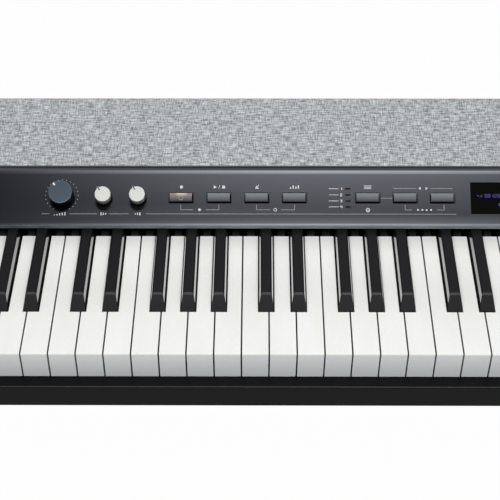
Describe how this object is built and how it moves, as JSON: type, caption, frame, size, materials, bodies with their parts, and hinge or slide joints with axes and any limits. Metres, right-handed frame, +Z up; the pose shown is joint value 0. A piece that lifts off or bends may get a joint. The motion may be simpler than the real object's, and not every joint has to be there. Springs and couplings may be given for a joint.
{
  "type": "digital piano on stand",
  "caption": "Slab digital piano with a cloth speaker band, sloped control panel and full keyboard, on a board stand.",
  "frame": {"origin": "on the floor, at the middle of the object's box", "axes": "+X to the treble end, +Y to the rear, +Z up"},
  "size_m": [1.306, 0.36, 0.8156],
  "materials": {
    "white_key": "moulded ivory-white plastic, polished",
    "black_key": "moulded black plastic, fine matte",
    "case_black": "fine-grained black plastic",
    "panel_charcoal": "satin charcoal paint on plastic",
    "grille_cloth": "grey linen weave",
    "knob_blue": "satin slate-blue plastic",
    "knob_white": "satin white plastic",
    "button_grey": "soft-touch grey plastic",
    "display_black": "gloss black window",
    "lamp": "dark smoked window",
    "circuit_board": "green board",
    "frame_plastic": "dark moulded plastic",
    "steel": "bright steel",
    "black_steel": "black coated steel",
    "rubber": "black rubber",
    "felt": "pressed red felt",
    "paper_cone": "black paper",
    "stand_board": "black laminated board"
  },
  "bodies": {
    "case_and_stand": {"bottom_case": "case_black", "key_slip": "case_black", "left_cheek": "case_black", "right_cheek": "case_black", "control_panel": "panel_charcoal", "grille_board": "frame_plastic", "grille_cloth": "grille_cloth", "rear_cover": "case_black", "jack_plate": "case_black", "jack_sockets": "frame_plastic", "display_window": "display_black", "display_module": "frame_plastic", "panel_board": "circuit_board", "main_board": "circuit_board", "indicator_lamps": "lamp", "control_pots": "steel", "speaker_frames": "black_steel", "speaker_cones": "paper_cone", "key_frame": "frame_plastic", "key_pivot_rod": "steel", "key_contact_strip": "rubber", "key_stop_felt": "felt", "case_feet": "rubber", "left_side_panel": "stand_board", "right_side_panel": "stand_board", "rear_board": "stand_board", "foot_bars": "stand_board", "floor_pads": "rubber", "case_brackets": "black_steel", "case_bolts": "black_steel", "board_bolts": "steel"},
    "volume_knob": {"volume_knob": "knob_blue"},
    "bass_knob": {"bass_knob": "knob_white"},
    "treble_knob": {"treble_knob": "knob_white"},
    "record_button": {"record_button": "button_grey"},
    "play_button": {"play_button": "button_grey"},
    "metronome_button": {"metronome_button": "button_grey"},
    "rhythm_button": {"rhythm_button": "button_grey"},
    "function_button": {"function_button": "button_grey"},
    "tempo_down_button": {"tempo_down_button": "button_grey"},
    "tempo_up_button": {"tempo_up_button": "button_grey"},
    "value_down_button": {"value_down_button": "button_grey"},
    "value_up_button": {"value_up_button": "button_grey"},
    "power_button": {"power_button": "button_grey"},
    "key_c3": {"key_c3": "white_key"},
    "key_c_sharp3": {"key_c_sharp3": "black_key"},
    "key_d3": {"key_d3": "white_key"},
    "key_d_sharp3": {"key_d_sharp3": "black_key"},
    "key_e3": {"key_e3": "white_key"},
    "key_f3": {"key_f3": "white_key"},
    "key_f_sharp3": {"key_f_sharp3": "black_key"},
    "key_g3": {"key_g3": "white_key"},
    "key_g_sharp3": {"key_g_sharp3": "black_key"},
    "key_a3": {"key_a3": "white_key"},
    "key_a_sharp3": {"key_a_sharp3": "black_key"},
    "key_b3": {"key_b3": "white_key"},
    "bass_keys": {"bass_white_keys": "white_key", "bass_black_keys": "black_key"},
    "treble_keys": {"treble_white_keys": "white_key", "treble_black_keys": "black_key"}
  },
  "joints": [
    {"name": "volume_turn", "type": "hinge", "parent": "case_and_stand", "child": "volume_knob", "pos_m": [-0.4018, 0.04404, 0.7685], "axis": [0, -0.5446, 0.8387], "range_deg": [-190, 110]},
    {"name": "bass_turn", "type": "hinge", "parent": "case_and_stand", "child": "bass_knob", "pos_m": [-0.363, 0.04228, 0.76736], "axis": [0, -0.5446, 0.8387], "range_deg": [-187, 113]},
    {"name": "treble_turn", "type": "hinge", "parent": "case_and_stand", "child": "treble_knob", "pos_m": [-0.3316, 0.04228, 0.76736], "axis": [0, -0.5446, 0.8387], "range_deg": [-177, 123]},
    {"name": "record_press", "type": "slide", "parent": "case_and_stand", "child": "record_button", "axis": [0, 0.5446, -0.8387], "range_m": [0, 0.0012], "stiffness_N_per_m": 300, "springref_m": -0.002},
    {"name": "play_press", "type": "slide", "parent": "case_and_stand", "child": "play_button", "axis": [0, 0.5446, -0.8387], "range_m": [0, 0.0012], "stiffness_N_per_m": 300, "springref_m": -0.002},
    {"name": "metronome_press", "type": "slide", "parent": "case_and_stand", "child": "metronome_button", "axis": [0, 0.5446, -0.8387], "range_m": [0, 0.0012], "stiffness_N_per_m": 300, "springref_m": -0.002},
    {"name": "rhythm_press", "type": "slide", "parent": "case_and_stand", "child": "rhythm_button", "axis": [0, 0.5446, -0.8387], "range_m": [0, 0.0012], "stiffness_N_per_m": 300, "springref_m": -0.002},
    {"name": "function_press", "type": "slide", "parent": "case_and_stand", "child": "function_button", "axis": [0, 0.5446, -0.8387], "range_m": [0, 0.0012], "stiffness_N_per_m": 300, "springref_m": -0.002},
    {"name": "tempo_down_press", "type": "slide", "parent": "case_and_stand", "child": "tempo_down_button", "axis": [0, 0.5446, -0.8387], "range_m": [0, 0.0012], "stiffness_N_per_m": 300, "springref_m": -0.002},
    {"name": "tempo_up_press", "type": "slide", "parent": "case_and_stand", "child": "tempo_up_button", "axis": [0, 0.5446, -0.8387], "range_m": [0, 0.0012], "stiffness_N_per_m": 300, "springref_m": -0.002},
    {"name": "value_down_press", "type": "slide", "parent": "case_and_stand", "child": "value_down_button", "axis": [0, 0.5446, -0.8387], "range_m": [0, 0.0012], "stiffness_N_per_m": 300, "springref_m": -0.002},
    {"name": "value_up_press", "type": "slide", "parent": "case_and_stand", "child": "value_up_button", "axis": [0, 0.5446, -0.8387], "range_m": [0, 0.0012], "stiffness_N_per_m": 300, "springref_m": -0.002},
    {"name": "power_press", "type": "slide", "parent": "case_and_stand", "child": "power_button", "axis": [0, 0.5446, -0.8387], "range_m": [0, 0.0012], "stiffness_N_per_m": 300, "springref_m": -0.002},
    {"name": "press_c3", "type": "hinge", "parent": "case_and_stand", "child": "key_c3", "pos_m": [0, 0.08, 0.721], "axis": [1, 0, 0], "range_deg": [0, 2.8], "stiffness_Nm_per_rad": 0.6, "springref_deg": -17.19},
    {"name": "press_c_sharp3", "type": "hinge", "parent": "case_and_stand", "child": "key_c_sharp3", "pos_m": [0, 0.08, 0.721], "axis": [1, 0, 0], "range_deg": [0, 2.8], "stiffness_Nm_per_rad": 0.5, "springref_deg": -13.75},
    {"name": "press_d3", "type": "hinge", "parent": "case_and_stand", "child": "key_d3", "pos_m": [0, 0.08, 0.721], "axis": [1, 0, 0], "range_deg": [0, 2.8], "stiffness_Nm_per_rad": 0.6, "springref_deg": -17.19},
    {"name": "press_d_sharp3", "type": "hinge", "parent": "case_and_stand", "child": "key_d_sharp3", "pos_m": [0, 0.08, 0.721], "axis": [1, 0, 0], "range_deg": [0, 2.8], "stiffness_Nm_per_rad": 0.5, "springref_deg": -13.75},
    {"name": "press_e3", "type": "hinge", "parent": "case_and_stand", "child": "key_e3", "pos_m": [0, 0.08, 0.721], "axis": [1, 0, 0], "range_deg": [0, 2.8], "stiffness_Nm_per_rad": 0.6, "springref_deg": -17.19},
    {"name": "press_f3", "type": "hinge", "parent": "case_and_stand", "child": "key_f3", "pos_m": [0, 0.08, 0.721], "axis": [1, 0, 0], "range_deg": [0, 2.8], "stiffness_Nm_per_rad": 0.6, "springref_deg": -17.19},
    {"name": "press_f_sharp3", "type": "hinge", "parent": "case_and_stand", "child": "key_f_sharp3", "pos_m": [0, 0.08, 0.721], "axis": [1, 0, 0], "range_deg": [0, 2.8], "stiffness_Nm_per_rad": 0.5, "springref_deg": -13.75},
    {"name": "press_g3", "type": "hinge", "parent": "case_and_stand", "child": "key_g3", "pos_m": [0, 0.08, 0.721], "axis": [1, 0, 0], "range_deg": [0, 2.8], "stiffness_Nm_per_rad": 0.6, "springref_deg": -17.19},
    {"name": "press_g_sharp3", "type": "hinge", "parent": "case_and_stand", "child": "key_g_sharp3", "pos_m": [0, 0.08, 0.721], "axis": [1, 0, 0], "range_deg": [0, 2.8], "stiffness_Nm_per_rad": 0.5, "springref_deg": -13.75},
    {"name": "press_a3", "type": "hinge", "parent": "case_and_stand", "child": "key_a3", "pos_m": [0, 0.08, 0.721], "axis": [1, 0, 0], "range_deg": [0, 2.8], "stiffness_Nm_per_rad": 0.6, "springref_deg": -17.19},
    {"name": "press_a_sharp3", "type": "hinge", "parent": "case_and_stand", "child": "key_a_sharp3", "pos_m": [0, 0.08, 0.721], "axis": [1, 0, 0], "range_deg": [0, 2.8], "stiffness_Nm_per_rad": 0.5, "springref_deg": -13.75},
    {"name": "press_b3", "type": "hinge", "parent": "case_and_stand", "child": "key_b3", "pos_m": [0, 0.08, 0.721], "axis": [1, 0, 0], "range_deg": [0, 2.8], "stiffness_Nm_per_rad": 0.6, "springref_deg": -17.19},
    {"name": "press_bass_keys", "type": "hinge", "parent": "case_and_stand", "child": "bass_keys", "pos_m": [0, 0.08, 0.721], "axis": [1, 0, 0], "range_deg": [0, 2.8], "stiffness_Nm_per_rad": 15, "springref_deg": -15.47},
    {"name": "press_treble_keys", "type": "hinge", "parent": "case_and_stand", "child": "treble_keys", "pos_m": [0, 0.08, 0.721], "axis": [1, 0, 0], "range_deg": [0, 2.8], "stiffness_Nm_per_rad": 27, "springref_deg": -15.47}
  ]
}
